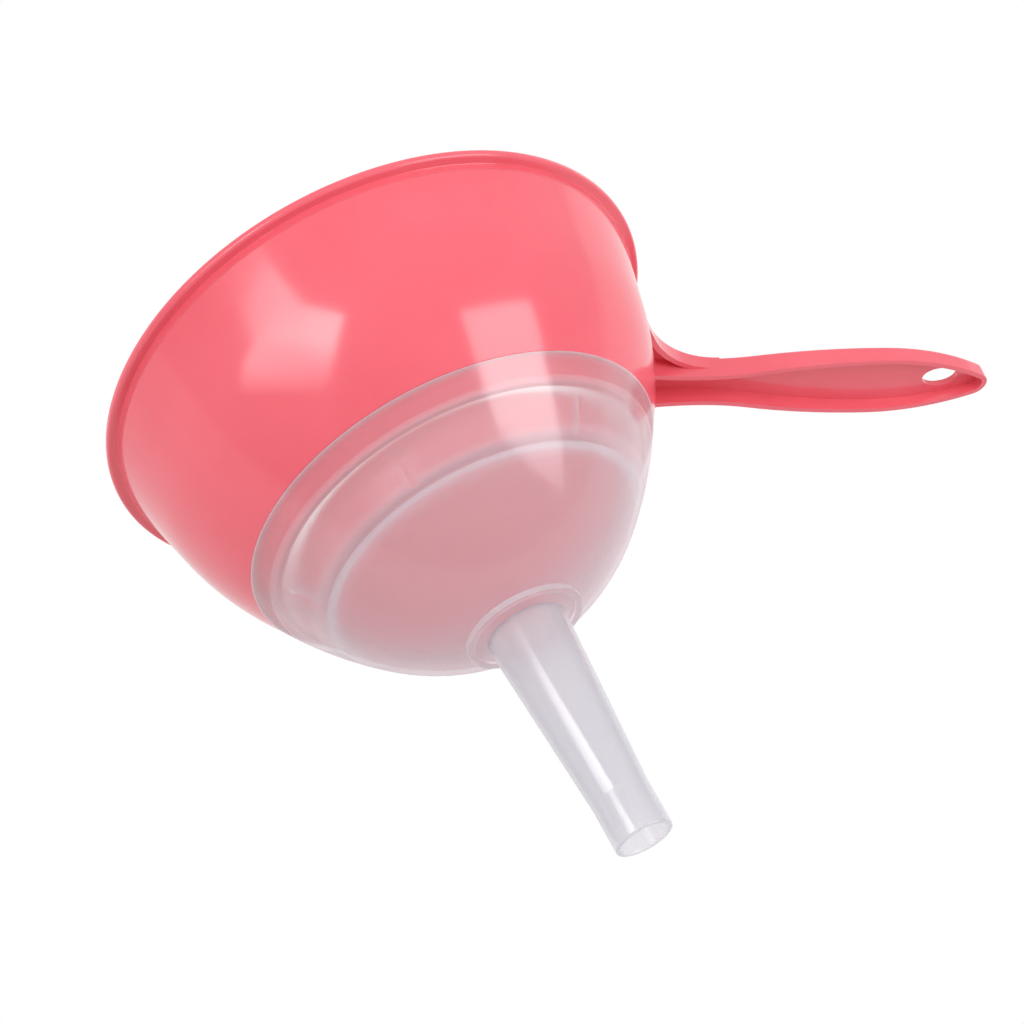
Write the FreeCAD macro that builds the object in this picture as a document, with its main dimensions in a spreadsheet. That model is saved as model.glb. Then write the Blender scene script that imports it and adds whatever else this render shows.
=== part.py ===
import FreeCAD, Part
import math
import os
import Sketcher

# Canning funnel with a side handle, a loose strainer basket and a push-on spout cap.
# The funnel's axis is Z and the centre of the spout's mouth is the origin.
# The handle points along +X. All sizes are in millimetres, angles in degrees.

doc = FreeCAD.newDocument("canning_funnel")
sheet = doc.addObject("Spreadsheet::Sheet", "Sizes")

# Driving sizes
DRIVING = [
    ("fit_gap", 0.3, "clearance between pieces that lift apart"),
    ("spout_height", 68.0, "top of the spout tube above its mouth"),
    ("spout_root_radius", 11.7, "outside of the spout at its top"),
    ("spout_taper", 3.6, "how much narrower the spout's straight end is"),
    ("spout_end_length", 13.0, "length of the straight end"),
    ("spout_wall", 1.4, "wall of the spout"),
    ("spout_round", 0.5, "rounding of the spout's mouth"),
    ("rim_radius", 85.0, "outside of the rim"),
    ("rim_rise", 24.0, "top of the rim above the knee"),
    ("rim_lip", 2.4, "depth of the rim's outward lip"),
    ("rim_round", 0.9, "rounding of the lip's edges"),
    ("lip_overhang", 3.0, "how far the lip stands out from the band of wall under it"),
    ("band_depth", 2.0, "depth of that thicker band"),
    ("band_step", 0.4, "how far the band stands out from the wall below it"),
    ("cone_taper", 5.2, "how much narrower the cone is at its foot, the knee"),
    ("knee_rise", 29.8, "knee above the shoulder that stands over the cap's lip"),
    ("bowl_wall", 2.0, "wall of the bowl"),
    ("bowl_taper", 14.0, "how much narrower the cap's lip is than the knee"),
    ("shoulder_inset", 0.1, "shoulder inside the cap's lip"),
    ("shoulder_wall", 2.6, "wall at the shoulder"),
    ("neck_wall", 1.9, "wall of the neck inside the cap, measured level"),
    ("neck_drop", 0.9, "how far the inner turn lies below the shoulder"),
    ("lip_lean", 30.6, "lean of the cap's wall at its upper edge"),
    ("skirt_wall", 1.5, "wall of the cap's skirt, measured level"),
    ("skirt_rise", 5.9, "cap's lip above the step that carries the bowl"),
    ("seat_rise", 10.2, "that step above the strainer's ledge"),
    ("seat_inset", 5.3, "inside of the skirt at the step, inside the lip's edge"),
    ("seat_wall", 3.4, "wall just below the step, measured level"),
    ("dome_inset", 18.1, "meeting of the cap's two curves, inside the lip's edge"),
    ("knuckle_rise", 19.8, "height of that meeting above the spout's top"),
    ("cap_wall", 1.5, "wall of the cap"),
    ("cap_turn", 53.8, "angle of the first rib from the handle"),
    ("ledge_rise", 8.0, "top of the strainer's ledge above the meeting of the curves"),
    ("ledge_depth", 2.2, "depth of the ledge"),
    ("ledge_reach", 4.6, "how far the ledge stands in from the wall"),
    ("rib_rise", 8.4, "top of the centring ribs above the ledge"),
    ("rib_top_width", 1.2, "width of a rib at its top"),
    ("rib_foot_width", 2.8, "width of a rib at its foot"),
    ("rib_reach", 2.2, "how far a rib stands in from the wall"),
    ("rib_count", 6, "centring ribs"),
    ("ring_offset", 5.6, "outside of the raised seat ring from the spout's root"),
    ("ring_width", 2.0, "width of the raised seat ring"),
    ("ring_lift", 0.2, "ring's lower face above the spout's top"),
    ("strainer_plate", 1.6, "thickness of the strainer's floor"),
    ("strainer_rise", 13.9, "height of the strainer's wall"),
    ("strainer_wall", 1.6, "thickness of that wall, measured level"),
    ("strainer_flare", 3.0, "how much wider the strainer is at its upper edge"),
    ("strainer_gap", 0.5, "clearance between the strainer and the ribs"),
    ("mesh_hole_radius", 1.6, "radius of a strainer hole"),
    ("mesh_pitch", 7.0, "distance between rings of strainer holes"),
    ("handle_droop", 13.5, "angle of the handle below level"),
    ("handle_drop", 10.1, "where the handle's lower plane meets the axis, below the rim's top"),
    ("handle_bury", 19.0, "inner end of the handle inside the rim, before it is trimmed"),
    ("handle_reach", 113.3, "tip of the handle outside the rim, measured along it"),
    ("waist_reach", 12.0, "narrowest place of the handle outside the rim"),
    ("waist_half", 6.6, "half width there"),
    ("wide_reach", 74.5, "widest place of the handle outside the rim"),
    ("wide_half", 12.2, "half width there"),
    ("tip_curve", 4.8, "radius of the handle's tip"),
    ("swell_share", 0.3, "share of the way from waist to widest where the curve turns"),
    ("root_half", 9.5, "half width of the channel's inner end"),
    ("flare_reach", 19.0, "outer end of the flared root plate outside the rim"),
    ("flare_turn_bury", 6.5, "where the root plate's curve ends, inside the rim"),
    ("flare_turn_half", 18.3, "half width there"),
    ("flare_half", 37.0, "half width of the root plate's inner end"),
    ("flare_curve", 30.0, "radius of the root plate's curve"),
    ("flare_lift", 3.4, "height of the root plate's edge over the channel's edge"),
    ("channel_wall", 1.7, "side wall of the handle"),
    ("top_plate", 2.0, "thickness of the handle's top plate"),
    ("channel_root_height", 9.7, "height of the channel at its inner end"),
    ("channel_tip_height", 5.7, "height of the channel at its tip"),
    ("channel_sweep", 2800.0, "radius of the top's slight hollow"),
    ("handle_round", 1.1, "rounding of the handle's upper edge"),
    ("hang_inset", 15.4, "middle of the hang hole from the handle's tip"),
    ("hang_length", 12.4, "length of the hang hole"),
    ("hang_width", 8.2, "width of the hang hole"),
]

# Sizes that follow from the driving ones
DERIVED = [
    ("knuckle_height", "spout_height + knuckle_rise"),
    ("ledge_height", "knuckle_height + ledge_rise"),
    ("rib_top_height", "ledge_height + rib_rise"),
    ("seat_height", "ledge_height + seat_rise"),
    ("lip_height", "seat_height + skirt_rise"),
    ("shoulder_height", "lip_height + fit_gap"),
    ("knee_height", "shoulder_height + knee_rise"),
    ("rim_height", "knee_height + rim_rise"),
    ("ring_height", "spout_height + ring_lift"),
    ("handle_pivot", "rim_height - handle_drop"),
    ("band_radius", "rim_radius - lip_overhang"),
    ("wall_top_radius", "band_radius - band_step"),
    ("knee_radius", "wall_top_radius - cone_taper"),
    ("lip_radius", "knee_radius - bowl_taper"),
    ("shoulder_radius", "lip_radius - shoulder_inset"),
    ("seat_radius", "lip_radius - seat_inset"),
    ("knuckle_radius", "lip_radius - dome_inset"),
    ("ring_outer_radius", "spout_root_radius + ring_offset"),
    ("spout_end_radius", "spout_root_radius - spout_taper"),
    ("handle_start", "rim_radius - handle_bury"),
    ("waist_place", "rim_radius + waist_reach"),
    ("wide_place", "rim_radius + wide_reach"),
    ("handle_length", "rim_radius + handle_reach"),
    ("hang_place", "handle_length - hang_inset"),
    ("flare_start", "rim_radius + flare_reach"),
    ("flare_turn_place", "rim_radius - flare_turn_bury"),
    ("band_top", "rim_height - rim_lip"),
    ("band_foot", "band_top - band_depth"),
    ("cone_angle", "atan((wall_top_radius - knee_radius) / (band_foot - knee_height))"),
    ("bowl_chord", "atan((knee_radius - shoulder_radius) / (knee_height - shoulder_height))"),
    ("bowl_span", "sqrt((knee_radius - shoulder_radius)^2 + (knee_height - shoulder_height)^2)"),
    ("bowl_curve", "bowl_span / (2 * sin(bowl_chord - cone_angle))"),
    ("shoulder_angle", "2 * bowl_chord - cone_angle"),
    ("inner_knee_radius", "knee_radius - bowl_wall * cos(cone_angle)"),
    ("inner_knee_height", "knee_height + bowl_wall * sin(cone_angle)"),
    ("mouth_radius", "inner_knee_radius + (rim_height - inner_knee_height) * tan(cone_angle)"),
    ("inner_shoulder_radius", "shoulder_radius - shoulder_wall * cos(shoulder_angle)"),
    ("inner_shoulder_height", "shoulder_height + shoulder_wall * sin(shoulder_angle)"),
    ("inner_chord", "atan((inner_knee_radius - inner_shoulder_radius)"
                    " / (inner_knee_height - inner_shoulder_height))"),
    ("inner_span", "sqrt((inner_knee_radius - inner_shoulder_radius)^2"
                   " + (inner_knee_height - inner_shoulder_height)^2)"),
    ("inner_curve", "inner_span / (2 * sin(inner_chord - cone_angle))"),
    ("skirt_radius", "lip_radius - skirt_wall"),
    ("neck_radius", "skirt_radius - fit_gap"),
    ("neck_foot_radius", "seat_radius - fit_gap"),
    ("neck_foot_height", "seat_height + fit_gap"),
    ("neck_inner_radius", "neck_radius - neck_wall"),
    ("neck_inner_height", "shoulder_height - neck_drop"),
    ("neck_mouth_radius", "neck_foot_radius - neck_wall"),
    ("lip_angle", "lip_lean * 1 deg"),
    ("upper_chord", "atan((lip_radius - knuckle_radius) / (lip_height - knuckle_height))"),
    ("upper_span", "sqrt((lip_radius - knuckle_radius)^2 + (lip_height - knuckle_height)^2)"),
    ("upper_curve", "upper_span / (2 * sin(upper_chord - lip_angle))"),
    ("upper_middle_radius", "lip_radius - upper_curve * cos(lip_angle)"),
    ("upper_middle_height", "lip_height + upper_curve * sin(lip_angle)"),
    ("knuckle_angle", "2 * upper_chord - lip_angle"),
    ("lower_chord", "atan((knuckle_radius - spout_root_radius) / (knuckle_height - spout_height))"),
    ("lower_span", "sqrt((knuckle_radius - spout_root_radius)^2"
                   " + (knuckle_height - spout_height)^2)"),
    ("lower_curve", "lower_span / (2 * sin(lower_chord - knuckle_angle))"),
    ("lower_middle_radius", "knuckle_radius - lower_curve * cos(knuckle_angle)"),
    ("lower_middle_height", "knuckle_height + lower_curve * sin(knuckle_angle)"),
    ("inner_lower_curve", "lower_curve - cap_wall"),
    ("inner_knuckle_radius", "knuckle_radius - cap_wall * cos(knuckle_angle)"),
    ("inner_knuckle_height", "knuckle_height + cap_wall * sin(knuckle_angle)"),
    ("spout_bore_radius", "spout_root_radius - spout_wall"),
    ("throat_height", "lower_middle_height"
                      " - sqrt(inner_lower_curve^2 - (spout_bore_radius - lower_middle_radius)^2)"),
    ("outer_at_seat", "upper_middle_radius"
                      " + sqrt(upper_curve^2 - (upper_middle_height - seat_height)^2)"),
    ("under_seat_radius", "outer_at_seat - seat_wall"),
    ("outer_at_ledge", "upper_middle_radius"
                       " + sqrt(upper_curve^2 - (upper_middle_height - ledge_height)^2)"),
    ("wall_at_ledge", "outer_at_ledge - cap_wall / cos(knuckle_angle)"),
    ("ledge_radius", "wall_at_ledge - ledge_reach"),
    ("ledge_foot", "ledge_height - ledge_depth"),
    ("outer_below_ledge", "upper_middle_radius"
                          " + sqrt(upper_curve^2 - (upper_middle_height - ledge_foot)^2)"),
    ("wall_below_ledge", "outer_below_ledge - cap_wall / cos(knuckle_angle)"),
    ("wall_slope", "(under_seat_radius - wall_at_ledge) / (seat_height - ledge_height)"),
    ("wall_at_rib_top", "wall_at_ledge + wall_slope * (rib_top_height - ledge_height)"),
    ("rib_sink", "cap_wall / 2"),
    ("rib_foot_in", "wall_at_ledge - rib_reach"),
    ("rib_foot_out", "wall_at_ledge + rib_sink"),
    ("rib_top_in", "wall_at_rib_top - rib_reach"),
    ("rib_top_out", "wall_at_rib_top + rib_sink"),
    ("rib_foot_half", "rib_foot_width / 2"),
    ("rib_top_half", "rib_top_width / 2"),
    ("ring_inner_radius", "ring_outer_radius - ring_width"),
    ("ring_sink_height", "lower_middle_height"
                         " - sqrt((lower_curve - rib_sink)^2 - (ring_outer_radius - lower_middle_radius)^2)"),
    ("spout_end_bore", "spout_end_radius - spout_wall"),
    ("strainer_radius", "rib_foot_in - strainer_gap"),
    ("strainer_floor", "ledge_height + fit_gap"),
    ("strainer_top", "strainer_floor + strainer_plate"),
    ("strainer_edge", "strainer_floor + strainer_rise"),
    ("strainer_mouth_radius", "strainer_radius + strainer_flare"),
    ("strainer_mouth_inside", "strainer_mouth_radius - strainer_wall"),
    ("strainer_floor_inside", "strainer_radius + strainer_flare * strainer_plate / strainer_rise"
                              " - strainer_wall"),
    ("swell_place", "waist_place + swell_share * (wide_place - waist_place)"),
    ("swell_half", "waist_half + swell_share * (wide_half - waist_half)"),
    ("root_curve", "((waist_place - handle_start)^2 + (root_half - waist_half)^2)"
                   " / (2 * (root_half - waist_half))"),
    ("hollow_curve", "((swell_place - waist_place)^2 + (swell_half - waist_half)^2)"
                     " / (2 * (swell_half - waist_half))"),
    ("swell_curve", "((wide_place - swell_place)^2 + (wide_half - swell_half)^2)"
                    " / (2 * (wide_half - swell_half))"),
    ("tip_reach", "handle_length - wide_place"),
    ("taper_curve", "((tip_reach - tip_curve)^2 + wide_half^2 - tip_curve^2)"
                    " / (2 * (wide_half - tip_curve))"),
    ("tip_join_place", "wide_place + taper_curve * (tip_reach - tip_curve) / (taper_curve - tip_curve)"),
    ("tip_join_half", "wide_half - taper_curve"
                      " + taper_curve * (taper_curve - wide_half) / (taper_curve - tip_curve)"),
    ("handle_end", "handle_length + channel_tip_height"),
    ("blank_depth", "4 * channel_root_height"),
]


HOLES_PER_RING = 6


def fill_sheet():
    """Write every size to the sheet: driving ones as plain numbers, the others as formulas."""
    row = 1
    for name, value, note in DRIVING:
        sheet.set(f"A{row}", note)
        sheet.set(f"B{row}", str(value))
        sheet.setAlias(f"B{row}", name)
        row += 1
    doc.recompute()
    for name, formula in DERIVED:
        sheet.set(f"B{row}", "=" + formula)
        sheet.setAlias(f"B{row}", name)
        doc.recompute()
        row += 1


def size(name):
    """The value of a size, a leading minus sign mirroring it."""
    if name.startswith("-"):
        return -size(name[1:])
    if name == "0":
        return 0.0
    return float(getattr(sheet, name))


def bind(thing, prop, name):
    """Tie a property to a cell of the sheet."""
    if name.startswith("-"):
        thing.setExpression(prop, "-Sizes." + name[1:])
    else:
        thing.setExpression(prop, "Sizes." + name)


def arc_between(start, end, radius, side):
    """The short arc from start to end that bulges to the left (side 1) or right (side -1)."""
    chord = end - start
    half = chord.Length / 2
    sagitta = radius - math.sqrt(radius * radius - half * half)
    left = FreeCAD.Vector(-chord.y, chord.x, 0).normalize()
    crown = (start + end) * 0.5 + left * (sagitta * side)
    return Part.Arc(start, crown, end)


def draw_outline(sketch, corners, arcs):
    """Draw a closed outline.

    corners lists (x, y) pairs of size names. arcs maps the number of a side to the name of
    its radius and the side it bulges to; the other sides are straight. Every corner is held
    by its two coordinates and every arc by its radius.
    """
    points = [FreeCAD.Vector(size(x), size(y), 0) for x, y in corners]
    count = len(points)
    ends = []
    for i in range(count):
        start = points[i]
        end = points[(i + 1) % count]
        if i in arcs:
            radius_name, side = arcs[i]
            edge = arc_between(start, end, size(radius_name), side)
        else:
            edge = Part.LineSegment(start, end)
        number = sketch.addGeometry(edge, False)
        forward = sketch.getPoint(number, 1).distanceToPoint(start) < 1e-6
        ends.append((number, 1, 2) if forward else (number, 2, 1))
    for i in range(count):
        number, _, last = ends[i]
        following, first, _ = ends[(i + 1) % count]
        sketch.addConstraint(Sketcher.Constraint("Coincident", number, last, following, first))
    for i, (x, y) in enumerate(corners):
        number, first, _ = ends[i]
        for kind, name in (("DistanceX", x), ("DistanceY", y)):
            if name == "0":
                axis = -2 if kind == "DistanceX" else -1
                sketch.addConstraint(Sketcher.Constraint("PointOnObject", number, first, axis))
                continue
            held = sketch.addConstraint(
                Sketcher.Constraint(kind, -1, 1, number, first, size(name)))
            bind(sketch, f"Constraints[{held}]", name)
    for i, (radius_name, _) in arcs.items():
        number = ends[i][0]
        held = sketch.addConstraint(
            Sketcher.Constraint("Radius", number, size(radius_name)))
        bind(sketch, f"Constraints[{held}]", radius_name)


def new_body(name):
    body = doc.addObject("PartDesign::Body", name)
    body.Label = name
    return body


def body_sketch(body, name, plane, lift=None):
    """A sketch on one of the body's origin planes, raised by a named size if one is given."""
    sketch = body.newObject("Sketcher::SketchObject", name)
    base = [o for o in body.Origin.OriginFeatures if o.Role == plane][0]
    sketch.AttachmentSupport = [(base, "")]
    sketch.MapMode = "FlatFace"
    if lift:
        bind(sketch, "AttachmentOffset.Base.z", lift)
    doc.recompute()
    return sketch


def revolve(body, name, corners, arcs, feature="PartDesign::Revolution"):
    """Turn a closed outline of (radius, height) corners once round the axis."""
    sketch = body_sketch(body, name + "_outline", "XZ_Plane")
    draw_outline(sketch, corners, arcs)
    turned = body.newObject(feature, name)
    turned.Profile = sketch
    turned.ReferenceAxis = (sketch, ["V_Axis"])
    turned.Angle = 360
    doc.recompute()
    return turned


def round_edges(body, name, radius_name, base, wanted):
    """Round those edges of the base feature that the test picks."""
    picked = []
    for i, edge in enumerate(base.Shape.Edges):
        if wanted(edge):
            picked.append(f"Edge{i + 1}")
    fillet = body.newObject("PartDesign::Fillet", name)
    fillet.Base = (base, picked)
    bind(fillet, "Radius", radius_name)
    doc.recompute()
    return fillet


def is_ring(edge, radius, height):
    """Whether an edge is the full circle of that radius and height round the axis."""
    curve = edge.Curve
    if not isinstance(curve, Part.Circle):
        return False
    return abs(curve.Radius - radius) < 0.01 and abs(curve.Center.z - height) < 0.01


BOWL_OUTSIDE = [
    ("rim_radius", "rim_height"),
    ("rim_radius", "band_top"),
    ("band_radius", "band_top"),
    ("band_radius", "band_foot"),
    ("wall_top_radius", "band_foot"),
    ("knee_radius", "knee_height"),
    ("shoulder_radius", "shoulder_height"),
    ("neck_radius", "shoulder_height"),
    ("neck_foot_radius", "neck_foot_height"),
]
KNEE_SIDE = 5


def make_bowl():
    """The bowl: rim with an outward lip, cone, curve, and the neck that enters the cap."""
    body = new_body("bowl")
    inside = [
        ("neck_mouth_radius", "neck_foot_height"),
        ("neck_inner_radius", "neck_inner_height"),
        ("inner_shoulder_radius", "inner_shoulder_height"),
        ("inner_knee_radius", "inner_knee_height"),
        ("mouth_radius", "rim_height"),
    ]
    arcs = {KNEE_SIDE: ("bowl_curve", 1), len(BOWL_OUTSIDE) + 2: ("inner_curve", -1)}
    wall = revolve(body, "bowl_wall_turned", BOWL_OUTSIDE + inside, arcs)

    def lip_edge(edge):
        return (is_ring(edge, size("rim_radius"), size("rim_height"))
                or is_ring(edge, size("rim_radius"), size("band_top"))
                or is_ring(edge, size("mouth_radius"), size("rim_height")))

    round_edges(body, "rim_rounding", "rim_round", wall, lip_edge)
    return body


def make_bowl_core():
    """The space inside the bowl's outer surface, used only to trim the handle's root."""
    body = new_body("bowl_core")
    corners = BOWL_OUTSIDE + [("0", "neck_foot_height"), ("0", "rim_height")]
    revolve(body, "core_turned", corners, {KNEE_SIDE: ("bowl_curve", 1)})
    return body


def make_spout_cap():
    """The cap: skirt, step for the bowl, ledge for the strainer, dome and seat ring."""
    body = new_body("spout_cap")
    corners = [
        ("lip_radius", "lip_height"),
        ("knuckle_radius", "knuckle_height"),
        ("spout_root_radius", "spout_height"),
        ("spout_bore_radius", "spout_height"),
        ("spout_bore_radius", "throat_height"),
        ("inner_knuckle_radius", "inner_knuckle_height"),
        ("wall_below_ledge", "ledge_foot"),
        ("ledge_radius", "ledge_foot"),
        ("ledge_radius", "ledge_height"),
        ("wall_at_ledge", "ledge_height"),
        ("under_seat_radius", "seat_height"),
        ("seat_radius", "seat_height"),
        ("skirt_radius", "lip_height"),
    ]
    arcs = {0: ("upper_curve", 1), 1: ("lower_curve", 1), 4: ("inner_lower_curve", -1)}
    revolve(body, "cap_wall_turned", corners, arcs)

    ring = [
        ("ring_inner_radius", "ring_height"),
        ("ring_outer_radius", "ring_height"),
        ("ring_outer_radius", "ring_sink_height"),
        ("ring_inner_radius", "ring_sink_height"),
    ]
    revolve(body, "seat_ring", ring, {})

    foot = body_sketch(body, "rib_foot", "XY_Plane", "ledge_height")
    draw_outline(foot, [
        ("rib_foot_in", "-rib_foot_half"), ("rib_foot_out", "-rib_foot_half"),
        ("rib_foot_out", "rib_foot_half"), ("rib_foot_in", "rib_foot_half")], {})
    top = body_sketch(body, "rib_top", "XY_Plane", "rib_top_height")
    draw_outline(top, [
        ("rib_top_in", "-rib_top_half"), ("rib_top_out", "-rib_top_half"),
        ("rib_top_out", "rib_top_half"), ("rib_top_in", "rib_top_half")], {})
    rib = body.newObject("PartDesign::AdditiveLoft", "rib")
    rib.Profile = foot
    rib.Sections = [top]
    rib.Ruled = True
    doc.recompute()

    ribs = body.newObject("PartDesign::PolarPattern", "ribs")
    ribs.Originals = [rib]
    ribs.Axis = (foot, ["N_Axis"])
    ribs.Angle = 360
    bind(ribs, "Occurrences", "rib_count")
    body.Tip = ribs

    # The cap pushes on at any angle.
    body.Placement.Rotation = FreeCAD.Rotation(FreeCAD.Vector(0, 0, 1), size("cap_turn"))
    body.setExpression("Placement.Rotation.Angle", "Sizes.cap_turn * 1 deg")
    doc.recompute()
    return body


def make_spout():
    """The spout: a tapered tube with a straight end, continuing the cap's hole."""
    body = new_body("spout")
    corners = [
        ("spout_bore_radius", "spout_height"),
        ("spout_end_bore", "spout_end_length"),
        ("spout_end_bore", "0"),
        ("spout_end_radius", "0"),
        ("spout_end_radius", "spout_end_length"),
        ("spout_root_radius", "spout_height"),
    ]
    tube = revolve(body, "tube", corners, {})

    def mouth_edge(edge):
        return (is_ring(edge, size("spout_end_radius"), 0)
                or is_ring(edge, size("spout_end_bore"), 0))

    round_edges(body, "mouth_rounding", "spout_round", tube, mouth_edge)
    return body


def make_strainer():
    """The strainer: a shallow flared basket with rings of round holes in its floor."""
    body = new_body("strainer")
    corners = [
        ("0", "strainer_floor"),
        ("strainer_radius", "strainer_floor"),
        ("strainer_mouth_radius", "strainer_edge"),
        ("strainer_mouth_inside", "strainer_edge"),
        ("strainer_floor_inside", "strainer_top"),
        ("0", "strainer_top"),
    ]
    revolve(body, "basket", corners, {})

    middle = body_sketch(body, "middle_hole", "XY_Plane", "strainer_floor")
    add_hole(middle, None)
    cut_through(body, "middle_hole_cut", middle)

    ring = 1
    while (ring + 0.7) * size("mesh_pitch") < size("strainer_floor_inside"):
        sketch = body_sketch(body, f"ring_{ring}_hole", "XY_Plane", "strainer_floor")
        add_hole(sketch, ring)
        hole = cut_through(body, f"ring_{ring}_cut", sketch)
        pattern = body.newObject("PartDesign::PolarPattern", f"ring_{ring}_holes")
        pattern.Originals = [hole]
        pattern.Axis = (sketch, ["N_Axis"])
        pattern.Angle = 360
        pattern.Occurrences = HOLES_PER_RING * ring
        body.Tip = pattern
        doc.recompute()
        ring += 1
    return body


def add_hole(sketch, ring):
    """A round hole on the sketch's X axis, or in the middle when no ring is given."""
    place = 0 if ring is None else ring * size("mesh_pitch")
    circle = Part.Circle(FreeCAD.Vector(place, 0, 0), FreeCAD.Vector(0, 0, 1), size("mesh_hole_radius"))
    number = sketch.addGeometry(circle, False)
    radius = sketch.addConstraint(Sketcher.Constraint("Radius", number, size("mesh_hole_radius")))
    bind(sketch, f"Constraints[{radius}]", "mesh_hole_radius")
    if ring is None:
        sketch.addConstraint(Sketcher.Constraint("Coincident", number, 3, -1, 1))
        return
    sketch.addConstraint(Sketcher.Constraint("PointOnObject", number, 3, -1))
    held = sketch.addConstraint(Sketcher.Constraint("DistanceX", -1, 1, number, 3, place))
    sketch.setExpression(f"Constraints[{held}]", f"{ring} * Sizes.mesh_pitch")


def cut_through(body, name, sketch):
    """Cut a sketch both ways through the whole body."""
    cut = body.newObject("PartDesign::Pocket", name)
    cut.Profile = sketch
    cut.Type = "ThroughAll"
    cut.Midplane = True
    doc.recompute()
    return cut


def plan_sketch(name, corners, arcs):
    """An outline in the handle's lower plane."""
    sketch = doc.addObject("Sketcher::SketchObject", name)
    draw_outline(sketch, corners, arcs)
    doc.recompute()
    return sketch


def mirrored(corners, arcs):
    """Close a half outline, drawn from the root to the tip, with its mirror image."""
    count = len(corners)
    back = [(x, "-" + y) for x, y in reversed(corners)]
    both = dict(arcs)
    for i, (radius_name, side) in arcs.items():
        both[2 * count - 2 - i] = (radius_name, side)
    return corners + back, both


def prism(name, outline, foot, height):
    """Raise an outline from one level of the handle to another."""
    solid = doc.addObject("Part::Extrusion", name)
    solid.Base = outline
    solid.DirMode = "Custom"
    solid.Dir = FreeCAD.Vector(0, 0, 1)
    solid.Solid = True
    solid.LengthFwd = height
    solid.LengthRev = foot
    return solid


def inset(name, outline):
    """The outline drawn in by the handle's wall."""
    drawn_in = doc.addObject("Part::Offset2D", name)
    drawn_in.Source = outline
    drawn_in.Join = 2
    drawn_in.setExpression("Value", "-Sizes.channel_wall")
    doc.recompute()
    return drawn_in


def combine(kind, name, base, tool):
    made = doc.addObject("Part::" + kind, name)
    made.Base = base
    made.Tool = tool
    doc.recompute()
    return made


def side_prism(name, drop):
    """The handle's side view, as wide as the root plate, lowered by a named size if given."""
    sketch = doc.addObject("Sketcher::SketchObject", name + "_outline")
    sketch.Placement.Rotation = FreeCAD.Rotation(FreeCAD.Vector(1, 0, 0), 90)
    corners = [
        ("handle_start", "0"),
        ("handle_end", "0"),
        ("handle_end", "channel_tip_height"),
        ("handle_start", "channel_root_height"),
    ]
    draw_outline(sketch, corners, {2: ("channel_sweep", 1)})
    if drop:
        bind(sketch, "Placement.Base.z", "-" + drop)
    doc.recompute()
    solid = doc.addObject("Part::Extrusion", name)
    solid.Base = sketch
    solid.DirMode = "Custom"
    solid.Dir = FreeCAD.Vector(0, 1, 0)
    solid.Solid = True
    solid.Symmetric = True
    solid.setExpression("LengthFwd", "3 * Sizes.flare_half")
    doc.recompute()
    return solid


def round_top(block):
    """Round the upper edges of a block of the handle, apart from the one at its inner end."""
    rounded = doc.addObject("Part::Fillet", block.Name + "_rounded")
    rounded.Base = block
    radius = size("handle_round")
    edges = []
    for i, edge in enumerate(block.Shape.Edges):
        box = edge.BoundBox
        upper = box.ZMin > size("channel_tip_height") - size("handle_round")
        outer = box.XMax > size("handle_start") + size("channel_wall")
        if upper and outer:
            edges.append((i + 1, radius, radius))
    rounded.Edges = edges
    doc.recompute()
    return rounded


def make_handle(core):
    """The handle: a channel open below, a flared root plate and a hang hole."""
    half = [
        ("handle_start", "root_half"),
        ("waist_place", "waist_half"),
        ("swell_place", "swell_half"),
        ("wide_place", "wide_half"),
        ("tip_join_place", "tip_join_half"),
    ]
    half_arcs = {
        0: ("root_curve", -1),
        1: ("hollow_curve", -1),
        2: ("swell_curve", 1),
        3: ("taper_curve", 1),
    }
    corners, arcs = mirrored(half, half_arcs)
    arcs[len(half) - 1] = ("tip_curve", 1)
    channel_plan = plan_sketch("channel_plan", corners, arcs)

    flare_half = [
        ("handle_start", "flare_half"),
        ("flare_turn_place", "flare_turn_half"),
        ("flare_start", "waist_half"),
    ]
    corners, arcs = mirrored(flare_half, {1: ("flare_curve", -1)})
    flare_plan = plan_sketch("flare_plan", corners, arcs)

    tall = size("blank_depth")
    side = side_prism("side", None)
    lowered = side_prism("lowered_side", "top_plate")
    channel = prism("channel", channel_plan, 0, tall)
    flare = prism("flare", flare_plan, 0, tall)
    flare.setExpression("LengthRev", "-Sizes.flare_lift")
    hollow = prism("hollow", inset("channel_inset", channel_plan), tall, tall)
    pocket = prism("pocket", inset("flare_inset", flare_plan), tall, tall)
    doc.recompute()

    channel_block = round_top(combine("Common", "channel_block", channel, side))
    flare_block = combine("Common", "flare_block", flare, side)
    block = combine("Fuse", "handle_block", channel_block, flare_block)
    block.Refine = True
    cavity = combine("Common", "cavity", hollow, lowered)
    under_flare = combine("Common", "under_flare", pocket, lowered)
    recess = combine("Cut", "recess", under_flare, channel)
    opened = combine("Cut", "opened", block, cavity)
    opened = combine("Cut", "opened_root", opened, recess)

    hole_plan = doc.addObject("Part::Ellipse", "hang_hole_plan")
    hole_plan.setExpression("MajorRadius", "Sizes.hang_length / 2")
    hole_plan.setExpression("MinorRadius", "Sizes.hang_width / 2")
    bind(hole_plan, "Placement.Base.x", "hang_place")
    doc.recompute()
    hole = prism("hang_hole", hole_plan, tall, tall)
    blank = combine("Cut", "handle_blank", opened, hole)
    blank.Placement.Rotation = FreeCAD.Rotation(FreeCAD.Vector(0, 1, 0), size("handle_droop"))
    blank.setExpression("Placement.Rotation.Angle", "Sizes.handle_droop * 1 deg")
    bind(blank, "Placement.Base.z", "handle_pivot")
    doc.recompute()

    handle = combine("Cut", "handle", blank, core)
    handle.Label = "handle"
    return handle


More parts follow.
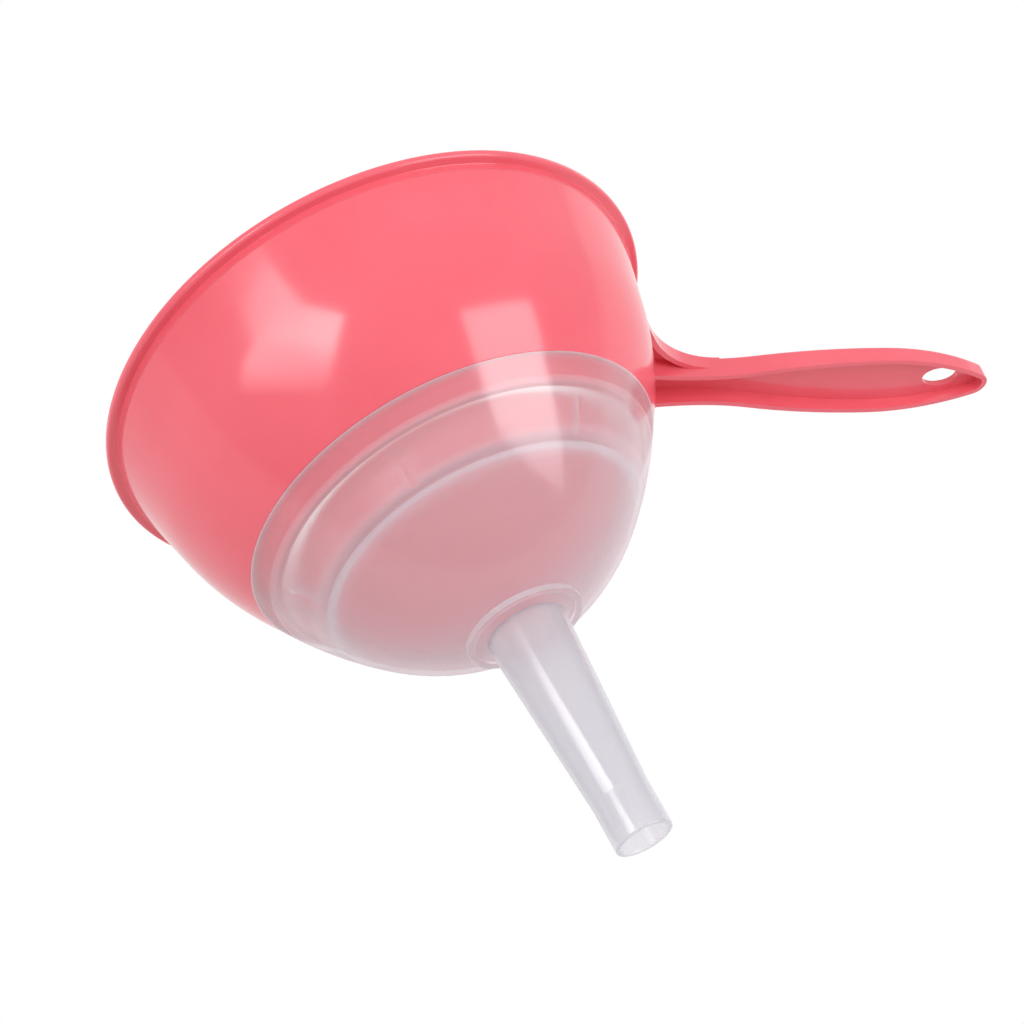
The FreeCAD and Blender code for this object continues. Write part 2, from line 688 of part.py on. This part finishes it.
def check_and_write(pieces):
    """Stop on any failed feature or bad shape, then write one file for each piece."""
    for thing in doc.Objects:
        if "Invalid" in thing.State or "Error" in thing.State:
            raise RuntimeError(f"{thing.Name} failed: {thing.State}")
    os.makedirs("parts", exist_ok=True)
    for piece in pieces:
        shape = piece.Shape
        if shape.isNull() or not shape.isValid():
            raise RuntimeError(f"{piece.Label} has a bad shape")
        print(piece.Label, "solids", len(shape.Solids), "volume", round(shape.Volume, 1),
              "box", [round(v, 2) for v in (shape.BoundBox.XMin, shape.BoundBox.XMax,
                                            shape.BoundBox.YMin, shape.BoundBox.YMax,
                                            shape.BoundBox.ZMin, shape.BoundBox.ZMax)])
        shape.exportStep(f"parts/{piece.Label}.step")


fill_sheet()
bowl = make_bowl()
bowl_core = make_bowl_core()
spout_cap = make_spout_cap()
spout = make_spout()
strainer = make_strainer()
handle = make_handle(bowl_core)
doc.recompute()
check_and_write([bowl, handle, strainer, spout_cap, spout])
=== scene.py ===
# %% [markdown]
# # Canning funnel
# A deep pink kitchen funnel with a side handle and a milky push-on spout cap.
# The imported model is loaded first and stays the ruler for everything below:
# a node whose shape is right keeps its mesh and only gets a better finish.

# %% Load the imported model
import bpy
import numpy as np
from mathutils import Matrix


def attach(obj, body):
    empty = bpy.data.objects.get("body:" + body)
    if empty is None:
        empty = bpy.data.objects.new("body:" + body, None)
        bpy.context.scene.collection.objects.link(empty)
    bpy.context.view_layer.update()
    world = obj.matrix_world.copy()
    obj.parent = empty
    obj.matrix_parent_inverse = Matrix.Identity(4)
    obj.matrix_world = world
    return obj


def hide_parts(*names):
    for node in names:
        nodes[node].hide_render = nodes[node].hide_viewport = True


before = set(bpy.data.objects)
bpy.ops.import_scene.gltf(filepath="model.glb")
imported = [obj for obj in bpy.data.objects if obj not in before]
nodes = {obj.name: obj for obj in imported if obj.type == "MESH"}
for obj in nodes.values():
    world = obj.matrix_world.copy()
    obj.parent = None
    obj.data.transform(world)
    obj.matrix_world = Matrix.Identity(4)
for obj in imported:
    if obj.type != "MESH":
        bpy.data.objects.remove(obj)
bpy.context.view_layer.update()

print("nodes:", sorted(nodes))

# %% [markdown]
# ## Camera
# The photograph looks up at the funnel from under its spout. The place and the
# turn of the camera were worked out from the circles of the rim, the cap and
# the seat ring, so the three directions below are written as plain numbers.
# Aiming the camera at a target would be shorter, but it would leave out the
# roll that tilts the funnel in the photograph.

# %% Camera
RIGHT = (0.87622, -0.20761, -0.43491)
UP = (0.22093, -0.62898, 0.74537)
BACK = (-0.42829, -0.74919, -0.50526)
EYE = (-0.21102, -0.39459, -0.15964)
LENS = 65.02
SENSOR = 36.0
NEAREST, FARTHEST = 0.01, 20.0

camera = bpy.data.objects.new("camera", bpy.data.cameras.new("camera"))
bpy.context.scene.collection.objects.link(camera)
turn = Matrix((RIGHT, UP, BACK)).transposed().to_4x4()
camera.matrix_world = Matrix.Translation(EYE) @ turn
camera.data.lens = LENS
camera.data.sensor_width = SENSOR
camera.data.clip_start = NEAREST
camera.data.clip_end = FARTHEST
bpy.context.scene.camera = camera
print("camera at", [round(v, 3) for v in camera.matrix_world.translation])


# %% [markdown]
# ## Helpers for materials and pieces
# A material is a graph of nodes. It could be drawn by hand in the node editor,
# but as code each recipe stays readable and can be changed in one place. These
# helpers add a node, do a sum, stretch a value and mix two finishes, so that
# every recipe below is only a few lines. The last one makes a piece from its
# points and faces.

# %% Nodes
def emptied(tree, kind):
    """The output of that kind, left as the only node in the tree."""
    tree.nodes.clear()
    return tree.nodes.new("ShaderNodeOutput" + kind)


def new_material(name):
    """A new material, its node tree, and the output that is the only node in it."""
    material = bpy.data.materials.new(name)
    material.use_nodes = True
    return material, material.node_tree, emptied(material.node_tree, "Material")


def add(tree, kind, links=(), **values):
    """A node of that kind; values set its sockets and links join (socket, source) pairs."""
    node = tree.nodes.new("ShaderNode" + kind)
    for name, value in values.items():
        if hasattr(node, name):
            setattr(node, name, value)
        else:
            node.inputs[name.replace("_", " ")].default_value = value
    for socket, source in links:
        tree.links.new(source, node.inputs[socket])
    return node


def feed(tree, socket, value):
    """A socket takes either a plain number or the output of another node."""
    if isinstance(value, float):
        socket.default_value = value
    else:
        tree.links.new(value, socket)


# %% Sums and mixtures
def sum_of(tree, operation, first, second, held=False):
    """One sum with two values, held between 0 and 1 if asked."""
    node = add(tree, "Math", operation=operation, use_clamp=held)
    feed(tree, node.inputs[0], first)
    feed(tree, node.inputs[1], second)
    return node.outputs[0]


def stretch(tree, value, before, after):
    """The value moved in a straight line from one span to another, its ends held."""
    node = add(tree, "MapRange", [("Value", value)])
    for name, number in zip(("From Min", "From Max", "To Min", "To Max"), before + after):
        node.inputs[name].default_value = number
    return node.outputs["Result"]


def ramp(tree, value, stops):
    """The colour at that value along stops of (position, colour)."""
    node = add(tree, "ValToRGB", [("Fac", value)])
    steps = node.color_ramp.elements
    while len(steps) < len(stops):
        steps.new(1.0)
    for step, (position, colour) in zip(steps, stops):
        step.position = position
        step.color = colour
    return node.outputs["Color"]


def mixture(tree, share, first, second):
    """Two finishes mixed, the second one with that share."""
    node = add(tree, "MixShader", [(1, first), (2, second)])
    feed(tree, node.inputs[0], share)
    return node.outputs[0]


# %% Questions to the ray of light
def is_sight(tree):
    """1 for a ray from the camera, or on through a clear wall, and 0 for any other."""
    ray = add(tree, "LightPath")
    return sum_of(tree, "MAXIMUM", ray.outputs["Is Camera Ray"], ray.outputs["Is Transmission Ray"])


def is_front(tree):
    """1 where a ray meets a face on its front, 0 on its back."""
    return sum_of(tree, "SUBTRACT", 1.0, add(tree, "NewGeometry").outputs["Backfacing"])


# %% Pieces from points and faces
def new_piece(name, points, faces, material):
    """An object at the origin from its points and faces, all in one material."""
    mesh = bpy.data.meshes.new(name)
    mesh.from_pydata(points, [], faces)
    mesh.materials.append(material)
    piece = bpy.data.objects.new(name, mesh)
    bpy.context.scene.collection.objects.link(piece)
    return piece


# %% [markdown]
# ## Floor
# The funnel is shown on a plain pale floor. The photograph is taken from below,
# so the floor is clear from underneath and to light that passes, and is only
# there for a view from above, where it keeps the funnel's shadow. Leaving the
# floor out would be simpler, but from above the funnel would then float.

# %% Floor
FLOOR_HALF = 6.0
FLOOR_LEVEL = -0.0006
PAPER_GRAIN = 9.0
PAPER_COLOURS = [(0.0, (0.90, 0.90, 0.895, 1)), (1.0, (0.94, 0.94, 0.935, 1))]


def floor_material():
    """Pale matt paper to a camera above it, clear from below and to passing light."""
    material, tree, out = new_material("floor_paper")
    grain = add(tree, "TexNoise", Scale=PAPER_GRAIN, Detail=3.0)
    tint = ramp(tree, grain.outputs["Fac"], PAPER_COLOURS)
    paper = add(tree, "BsdfDiffuse", [("Color", tint)])
    clear = add(tree, "BsdfTransparent")
    shown = sum_of(tree, "MULTIPLY", is_sight(tree), is_front(tree))
    whole = mixture(tree, shown, clear.outputs[0], paper.outputs[0])
    tree.links.new(whole, out.inputs["Surface"])
    return material


square = FLOOR_HALF * np.array([[-1, -1, 0], [1, -1, 0], [1, 1, 0], [-1, 1, 0]], float)
square[:, 2] = FLOOR_LEVEL
floor = new_piece("floor", square.tolist(), [(0, 1, 2, 3)], floor_material())
print("floor", 2 * FLOOR_HALF, "m wide at", FLOOR_LEVEL)

# %% [markdown]
# ## Room light
# The world gives the even light of a white studio. It is brightest from the
# side that is upwards in the photograph, with a white wall behind the funnel
# that glances off both its flanks. A picture of a room could do this, but two
# dot products of the sky's direction with a fixed direction are enough: the
# gradient follows the first, and the wall begins where the second passes
# nought, which gives the sheen its edge on the bowl.

# %% Room light
ROOM_LEVELS = (0.41, 0.81)
ROOM_COLOUR = (1.0, 0.99, 0.985, 1)
WALL_SIDE = (0.14, 0.99, 0.0)
WALL_EDGE = (-0.01, 0.03)
WALL_LEVEL = 0.36
WHITE = (1, 1, 1, 1)


def sky_towards(tree, direction):
    """How far a ray points towards that direction, as their dot product from -1 to 1."""
    sky = add(tree, "TexCoord").outputs["Generated"]
    product = add(tree, "VectorMath", [(0, sky)], operation="DOT_PRODUCT")
    product.inputs[1].default_value = direction
    return product.outputs["Value"]


def make_world():
    """Plain white to the camera, a soft gradient with a white wall as a light."""
    world = bpy.data.worlds.new("white_room")
    bpy.context.scene.world = world
    world.use_nodes = True
    tree = world.node_tree
    out = emptied(tree, "World")
    glow = stretch(tree, sky_towards(tree, UP), (-1.0, 1.0), ROOM_LEVELS)
    wall = stretch(tree, sky_towards(tree, WALL_SIDE), WALL_EDGE, (0.0, WALL_LEVEL))
    level = sum_of(tree, "ADD", glow, wall)
    room = add(tree, "Background", [("Strength", level)], Color=ROOM_COLOUR)
    plain = add(tree, "Background", Color=WHITE, Strength=1.0)
    tree.links.new(mixture(tree, is_sight(tree), room.outputs[0], plain.outputs[0]), out.inputs["Surface"])
    return world


print("world", make_world().name, "from", ROOM_LEVELS[0], "to", ROOM_LEVELS[1])

# %% [markdown]
# ## Soft boxes
# Two soft boxes stand beside the camera and show as clear-edged patches on the
# bowl. An area light is an even rectangle or oval, while these patches have
# slanting sides and fade, so each box is a glowing sheet of a few rungs
# instead. The ends of the rungs were found by following the reflected lines
# back from the patch's outline in the photograph, and a level painted on each
# rung lets the light fade along the sheet. The boxes stand low, so the floor
# is kept out of what they light.

# %% Soft boxes
LEFT_STRENGTH = 8.0
LEFT_BOX = [((-0.457, -0.487, 0.274), (-0.331, -0.587, 0.112), 0.65, 0.95),
            ((-0.574, -0.333, 0.265), (-0.400, -0.525, 0.030), 0.62, 0.90),
            ((-0.629, -0.216, 0.224), (-0.466, -0.444, -0.049), 0.50, 0.35),
            ((-0.657, -0.113, 0.151), (-0.519, -0.352, -0.091), 0.0, 0.0)]
RIGHT_STRENGTH = 4.6
RIGHT_BOX = [((0.129, -0.634, -0.023), (0.433, -0.489, 0.045), 1.0, 1.0),
             ((0.133, -0.561, -0.189), (0.445, -0.419, -0.099), 0.95, 0.95),
             ((0.141, -0.524, -0.242), (0.449, -0.377, -0.151), 0.9, 0.9),
             ((0.144, -0.500, -0.300), (0.424, -0.178, -0.328), 0.2, 0.2)]

beside_floor = bpy.data.collections.new("beside_floor")
beside_floor.objects.link(floor)
beside_floor.collection_objects[0].light_linking.link_state = "EXCLUDE"


def glow_material(name, strength):
    """A glow of that strength times the level painted on the sheet."""
    material, tree, out = new_material(name)
    fade = add(tree, "Attribute", attribute_name="level")
    power = sum_of(tree, "MULTIPLY", fade.outputs["Fac"], strength)
    glow = add(tree, "Emission", [("Strength", power)])
    tree.links.new(glow.outputs[0], out.inputs["Surface"])
    return material


def soft_box(name, rungs, strength):
    """A glowing sheet between rungs (left end, right end, left level, right level)."""
    points = [point for rung in rungs for point in rung[:2]]
    levels = [level for rung in rungs for level in rung[2:]]
    faces = [(2 * k, 2 * k + 2, 2 * k + 3, 2 * k + 1) for k in range(len(rungs) - 1)]
    sheet = new_piece(name, points, faces, glow_material(name + "_light", strength))
    level = sheet.data.attributes.new("level", "FLOAT", "POINT")
    level.data.foreach_set("value", np.array(levels, np.float32))
    sheet.light_linking.receiver_collection = beside_floor
    sheet.visible_camera = False
    sheet.visible_transmission = False
    print(name, "has", len(faces), "faces")


soft_box("left_box", LEFT_BOX, LEFT_STRENGTH)
soft_box("right_box", RIGHT_BOX, RIGHT_STRENGTH)


# %% [markdown]
# ## Pink plastic
# The bowl, the handle and the strainer are moulded from one glossy pink
# plastic. It could have one even colour and gloss, but would look drawn, so
# the colour wanders very slightly, the gloss is dulled unevenly by handling,
# and a faint ripple in the moulded surface bends what it mirrors.

# %% Pink plastic
PINK_COLOURS = [(0.3, (0.84, 0.118, 0.160, 1)), (0.7, (0.89, 0.138, 0.182, 1))]
PINK_ROUGHNESS = (0.09, 0.17)
PINK_BEND = 1.58
GLOW_SHARE = 0.15
GLOW_DEPTHS = (0.004, 0.0012, 0.0012)


def pink_plastic():
    """Glossy moulded plastic with faint clouds of colour, uneven gloss and a faint ripple."""
    material, tree, out = new_material("pink_plastic")
    place = add(tree, "TexCoord").outputs["Object"]
    clouds = add(tree, "TexNoise", [("Vector", place)], Scale=28.0, Detail=4.0, Roughness=0.55)
    colour = ramp(tree, clouds.outputs["Fac"], PINK_COLOURS)
    wear = add(tree, "TexNoise", [("Vector", place)], Scale=55.0, Detail=6.0, Roughness=0.7)
    roughness = stretch(tree, wear.outputs["Fac"], (0.0, 1.0), PINK_ROUGHNESS)
    ripple = add(tree, "TexNoise", [("Vector", place)], Scale=38.0, Detail=2.0)
    bump = add(tree, "Bump", [("Height", ripple.outputs["Fac"])], Strength=0.10, Distance=0.0006)
    plastic = add(tree, "BsdfPrincipled",
                  [("Base Color", colour), ("Roughness", roughness), ("Normal", bump.outputs["Normal"])],
                  IOR=PINK_BEND, Subsurface_Weight=GLOW_SHARE, Subsurface_Radius=GLOW_DEPTHS,
                  Subsurface_Scale=1.0)
    tree.links.new(plastic.outputs[0], out.inputs["Surface"])
    return material


def give_finish(name, material):
    """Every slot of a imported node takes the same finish."""
    for piece_slot in nodes[name].material_slots:
        piece_slot.material = material
    print(name, "is", material.name)


pink = pink_plastic()
print("material", pink.name)

# %% [markdown]
# ## Bowl
# The bowl is one turned form: a lip with rounded edges, a narrow band below it,
# a straight cone, and a curve down to the shoulder over the cap. The packed
# mesh is too coarse for the thin line of light along the rounded lip. Smooth
# shading can't round a coarse outline, so the same outline, with the same
# radii, is swept here in finer steps.

# %% Tools for a turned form
def arc(middle, radius, start, end, steps):
    """Points on a circle: middle plus radius times cosine and sine of evenly spaced angles."""
    angles = np.radians(np.linspace(start, end, steps))
    return np.stack([middle[0] + radius * np.cos(angles), middle[1] + radius * np.sin(angles)], axis=1)


def line(start, end, steps):
    """Evenly spaced points between two corners, both ends left out."""
    share = np.linspace(0, 1, steps + 2)[1:-1, None]
    return np.array(start) * (1 - share) + np.array(end) * share


TURNS = 480
SHARP_FROM = 25
MM_IN_M = 1000


def turned_form(name, outline, material):
    """The closed outline (radius, height in mm) turned once about the axis in TURNS steps.

    Point (i, k) is (r_k cos a_i, r_k sin a_i, z_k), with a_i = i / TURNS of a full turn,
    and each square of neighbouring points is one face, so the skin closes on itself.
    """
    angles = np.linspace(0, 2 * np.pi, TURNS, endpoint=False)[:, None]
    radius, height = outline[:, 0] / MM_IN_M, outline[:, 1] / MM_IN_M
    points = np.stack([radius * np.cos(angles), radius * np.sin(angles), height + 0 * angles], axis=2)
    count = len(outline)
    i, k = np.meshgrid(np.arange(TURNS), np.arange(count), indexing="ij")
    here, beside = i * count, (i + 1) % TURNS * count
    after = (k + 1) % count
    faces = np.stack([here + k, beside + k, beside + after, here + after], axis=2)
    piece = new_piece(name, points.reshape(-1, 3).tolist(), faces.reshape(-1, 4).tolist(), material)
    piece.data.shade_smooth()
    piece.data.set_sharp_from_angle(angle=np.radians(SHARP_FROM))
    return piece


# %% Outline of the bowl in millimetres
RIM_RADIUS, RIM_TOP, LIP_UNDERSIDE = 85.0, 166.0, 163.6
LIP_ROUND, GROOVE_ROUND = 0.9, 0.3
LIP_OUTSIDE = RIM_RADIUS - LIP_ROUND
LIP_INSIDE = 81.391
BAND_RADIUS, BAND_FOOT = 82.0, 161.75
GROOVE = BAND_RADIUS + GROOVE_ROUND
CONE_TOP, CONE_FOOT = (81.6, 161.6), (76.4, 142.0)
OUTER_MIDDLE, OUTER_CURVE = (-11.336, 165.277), 90.771
SHOULDER_TURN, CONE_TURN = -35.79, -14.86
NECK = [(58.7, 111.3), (54.9, 106.3), (56.8, 106.3), (60.6, 112.2)]
INNER_MIDDLE, INNER_CURVE = (-3.338, 163.155), 80.497
NECK_TURN, INNER_CONE_TURN = -37.9, -14.85
INNER_CONE_TOP, INNER_CONE_FOOT = (80.521, 165.331), (74.467, 142.513)
LIP_TURN = 165.1

inside = [arc((LIP_INSIDE, RIM_TOP - LIP_ROUND), LIP_ROUND, 90, LIP_TURN, 8),
          line(INNER_CONE_TOP, INNER_CONE_FOOT, 12),
          arc(INNER_MIDDLE, INNER_CURVE, INNER_CONE_TURN, NECK_TURN, 26)]
outside = [arc(OUTER_MIDDLE, OUTER_CURVE, SHOULDER_TURN, CONE_TURN, 26),
           line(CONE_FOOT, CONE_TOP, 12),
           [CONE_TOP, (BAND_RADIUS, BAND_FOOT)],
           line((BAND_RADIUS, BAND_FOOT), (BAND_RADIUS, LIP_UNDERSIDE - GROOVE_ROUND), 1)]
lip_underside = [arc((GROOVE, LIP_UNDERSIDE - GROOVE_ROUND), GROOVE_ROUND, 180, 90, 4),
                 line((GROOVE, LIP_UNDERSIDE), (LIP_OUTSIDE, LIP_UNDERSIDE), 2),
                 arc((LIP_OUTSIDE, LIP_UNDERSIDE + LIP_ROUND), LIP_ROUND, -90, 0, 9)]
lip_top = [arc((LIP_OUTSIDE, RIM_TOP - LIP_ROUND), LIP_ROUND, 0, 90, 9),
           line((LIP_OUTSIDE, RIM_TOP), (LIP_INSIDE, RIM_TOP), 2)]
bowl_outline = np.concatenate(lip_top + inside + [NECK] + outside + lip_underside)
print("outline of", len(bowl_outline), "points")

# %% Bowl swept from its outline
bowl_skin = turned_form("bowl_skin", bowl_outline, pink)
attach(bowl_skin, "bowl")
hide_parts("bowl")
print(bowl_skin.name, len(bowl_skin.data.polygons), "faces, radius", round(bowl_outline[:, 0].max(), 2), "mm")

# %% [markdown]
# ## Finish of the handle and the strainer
# Both are moulded from the same pink plastic as the bowl. They could be made
# anew like the bowl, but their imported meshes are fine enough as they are.

# %% Finish of the handle and the strainer
for name in ("handle", "strainer"):
    give_finish(name, pink)


# %% [markdown]
# ## Milky plastic
# The cap and its spout are a cloudy, uncoloured plastic. A true volume of fog
# would be the physical way, but it is slow and full of noise in such a thin
# wall, so the wall itself is a mixture. What lies behind is seen through it,
# lightly blurred by its grain, and each face adds a share of white haze: part
# of it is light thrown back, part is light that glows through. Seen along its
# face the wall is deeper, so the haze grows towards the edge of its outline.
# A ramp over the height sets the haze of each zone: the ledge's band is
# whiter, and the thin skirt above the step lies against the bowl and is the
# clearest part. Two narrow bands of extra white haze at the step and the lip
# are a painted highlight: they stand for the bright line where light catches
# those edges. Light on its way to the pieces inside passes straight through.
# The gloss shows only where a ray enters the plastic, and is held back near
# the outline, where it would turn to a mirror.

# %% Sight through the milky wall
SIGHT_ROUGHNESS = (0.55, 0.70)
SIGHT_BEND = 1.14
SIGHT_ENDS = (0.50, 0.80)
SIGHT_TINT = (0.0, -0.01, -0.002)
PASSING_COLOUR = (0.94, 0.93, 0.945, 1)


def tinted(level, tint):
    """A grey of that level, with a small shift of its red, green and blue."""
    return [level + shift for shift in tint] + [1]


def clear_part(tree, grain, facing, clearness):
    """Blurred sight through the wall where it is met squarely, straight passage for the rest."""
    blur = stretch(tree, grain, (0.0, 1.0), SIGHT_ROUGHNESS)
    sight = add(tree, "BsdfRefraction", [("Roughness", blur)], Color=tinted(clearness, SIGHT_TINT),
                IOR=SIGHT_BEND)
    passing = add(tree, "BsdfTransparent", Color=PASSING_COLOUR)
    square_on = stretch(tree, facing, SIGHT_ENDS, (1.0, 0.0))
    blurred = sum_of(tree, "MULTIPLY", is_sight(tree), square_on)
    return mixture(tree, blurred, passing.outputs[0], sight.outputs[0])


# %% Haze of the milky wall
DULL_TINT, BRIGHT_TINT = (-0.05, -0.05, -0.01), (0.015, 0.02, 0.06)
HAZE_GLOW = 0.55
HAZE_EDGE = 0.78
HAZE_STEEPNESS = 2.5
HAZE_HEIGHTS = (0.088, 0.112)
HAZE_TOP = 1.8
# The steps at 0.76 and 0.985 are a painted highlight: extra white haze for the bright lines where light
# catches the step and the lip.
HAZE_AND_EDGE_HIGHLIGHT_LEVELS = [(0.00, 0.55), (0.09, 0.55), (0.13, 0.80), (0.31, 0.78), (0.36, 0.58), (0.69, 0.55),
               (0.76, 0.80), (0.78, 0.27), (0.965, 0.27), (0.985, 0.95)]


def haze_part(tree, place, whiteness):
    """White haze with faint clouds: light thrown back, mixed with light that glows through."""
    clouds = add(tree, "TexNoise", [("Vector", place)], Scale=24.0, Detail=3.0, Roughness=0.5)
    dull, bright = tinted(whiteness, DULL_TINT), tinted(whiteness, BRIGHT_TINT)
    white = ramp(tree, clouds.outputs["Fac"], [(0.0, dull), (1.0, bright)])
    thrown = add(tree, "BsdfDiffuse", [("Color", white)])
    through = add(tree, "BsdfTranslucent", [("Color", white)])
    return mixture(tree, HAZE_GLOW, thrown.outputs[0], through.outputs[0])


def haze_and_highlight_share(tree, place, facing, facing_haze):
    """The haze grows from facing_haze to HAZE_EDGE along the wall, times the level of its zone, with painted
    highlight bands at the step and the lip.
    """
    steep = sum_of(tree, "POWER", facing, HAZE_STEEPNESS)
    share = stretch(tree, steep, (0.0, 1.0), (facing_haze, HAZE_EDGE))
    height = add(tree, "SeparateXYZ", [("Vector", place)]).outputs["Z"]
    rise = stretch(tree, height, HAZE_HEIGHTS, (0.0, 1.0))
    haze_and_highlight_zones = ramp(tree, rise, [(position, (level, level, level, 1)) for position, level in HAZE_AND_EDGE_HIGHLIGHT_LEVELS])
    depth = sum_of(tree, "MULTIPLY", haze_and_highlight_zones, HAZE_TOP)
    return sum_of(tree, "MULTIPLY", share, depth, held=True)


# %% Gloss of the milky wall
MILKY_ROUGHNESS = (0.10, 0.17)
MIRROR_BEND = 1.7
EDGE_GLOSS = 0.20


def glossed(tree, grain, wall):
    """The wall with a clear gloss where a ray enters it, held to EDGE_GLOSS at the outline."""
    roughness = stretch(tree, grain, (0.0, 1.0), MILKY_ROUGHNESS)
    gloss = add(tree, "BsdfGlossy", [("Roughness", roughness)], Color=WHITE)
    mirror = add(tree, "Fresnel", IOR=MIRROR_BEND)
    dulled = sum_of(tree, "MINIMUM", mirror.outputs[0], EDGE_GLOSS)
    polish = sum_of(tree, "MULTIPLY", dulled, is_front(tree))
    return mixture(tree, polish, wall, gloss.outputs[0])


# %% Milky plastic on the cap and the spout
def milky_plastic(name, facing_haze, clearness, whiteness):
    """Blurred sight through the wall, white haze that grows to the edge, and a clear gloss."""
    material, tree, out = new_material(name)
    place = add(tree, "TexCoord").outputs["Object"]
    facing = add(tree, "LayerWeight", Blend=0.5).outputs["Facing"]
    noise = add(tree, "TexNoise", [("Vector", place)], Scale=60.0, Detail=4.0, Roughness=0.6)
    grain = noise.outputs["Fac"]
    clear = clear_part(tree, grain, facing, clearness)
    haze = haze_part(tree, place, whiteness)
    wall = mixture(tree, haze_and_highlight_share(tree, place, facing, facing_haze), clear, haze)
    tree.links.new(glossed(tree, grain, wall), out.inputs["Surface"])
    return material


give_finish("spout_cap", milky_plastic("milky_plastic", facing_haze=0.24, clearness=0.968, whiteness=0.915))
give_finish("spout", milky_plastic("milky_spout_plastic", facing_haze=0.34, clearness=0.93, whiteness=0.80))

# %% [markdown]
# ## View transform
# The picture is shown with the plain Standard view transform.

# %% Standard view transform
bpy.context.scene.view_settings.view_transform = "Standard"
